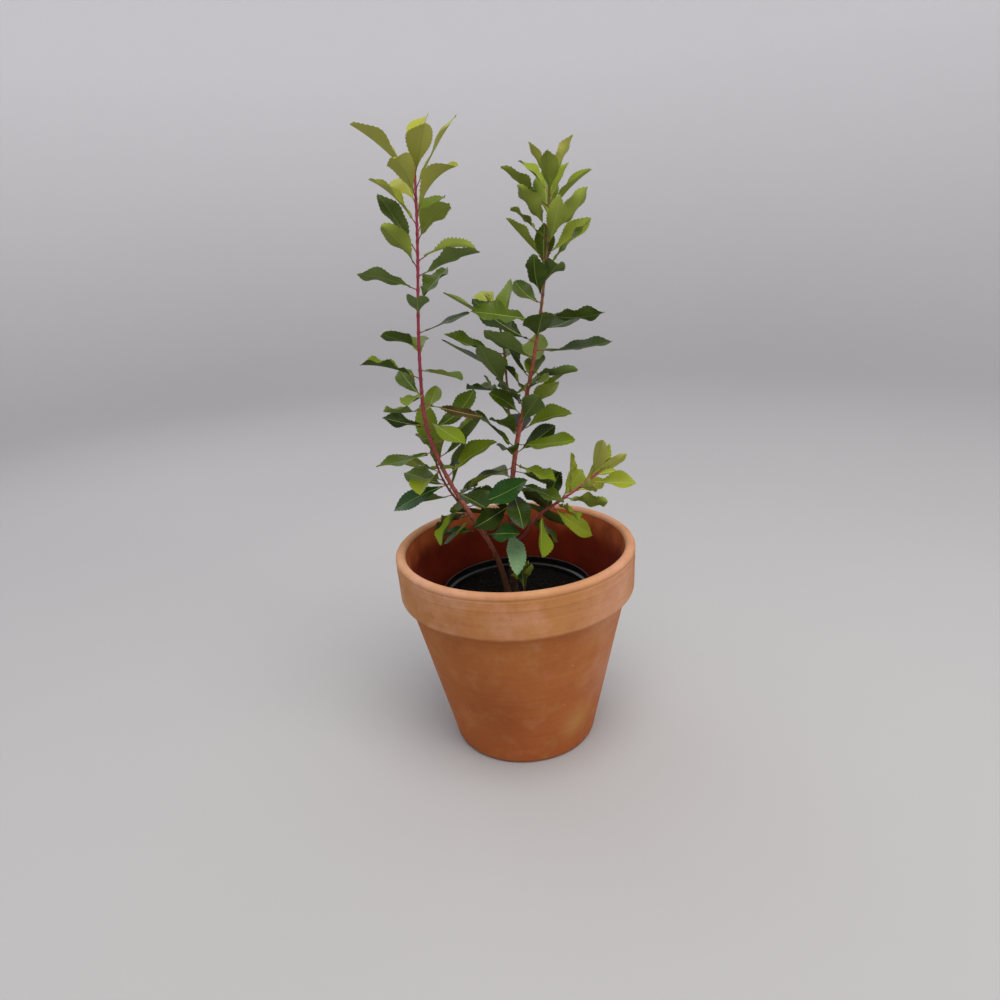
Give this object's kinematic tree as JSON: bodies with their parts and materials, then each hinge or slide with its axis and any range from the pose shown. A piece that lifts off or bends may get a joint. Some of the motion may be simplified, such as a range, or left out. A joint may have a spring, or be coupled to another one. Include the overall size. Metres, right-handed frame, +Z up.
{
  "type": "potted strawberry tree",
  "caption": "Young evergreen strawberry tree with leaning leafy stems and side shoots, in a black nursery pot set inside a larger terracotta pot with a deep banded rim.",
  "frame": {"origin": "centre of the terracotta pot's flat underside", "axes": "+Z up along the pots' shared axis, -Y towards the viewer of the picture, +X to its right"},
  "size_m": [0.3088, 0.3, 0.7583],
  "materials": {
    "terracotta": "unglazed matt orange-brown terracotta, slightly mottled",
    "black_plastic": "thin moulded black nursery pot, half matt",
    "potting_soil": "dark crumbly potting compost",
    "bark": "grey-brown at the foot, reddish higher up, matt",
    "leaves": "leathery green leaves with a soft gloss, yellow-green at the shoot tips"
  },
  "bodies": {
    "root": {"terracotta_pot": "terracotta", "nursery_pot": "black_plastic", "potting_soil": "potting_soil", "left_stem": "bark", "centre_stem": "bark", "left_twig": "bark", "middle_branch": "bark", "right_branch": "bark", "left_lower_foliage": "leaves", "left_middle_foliage": "leaves", "left_upper_foliage": "leaves", "left_top_foliage": "leaves", "centre_lower_foliage": "leaves", "centre_middle_foliage": "leaves", "centre_upper_foliage": "leaves", "centre_top_foliage": "leaves", "left_twig_foliage": "leaves", "middle_shoot_foliage": "leaves", "right_shoot_foliage": "leaves", "foot_sprig_foliage": "leaves"}
  },
  "joints": []
}
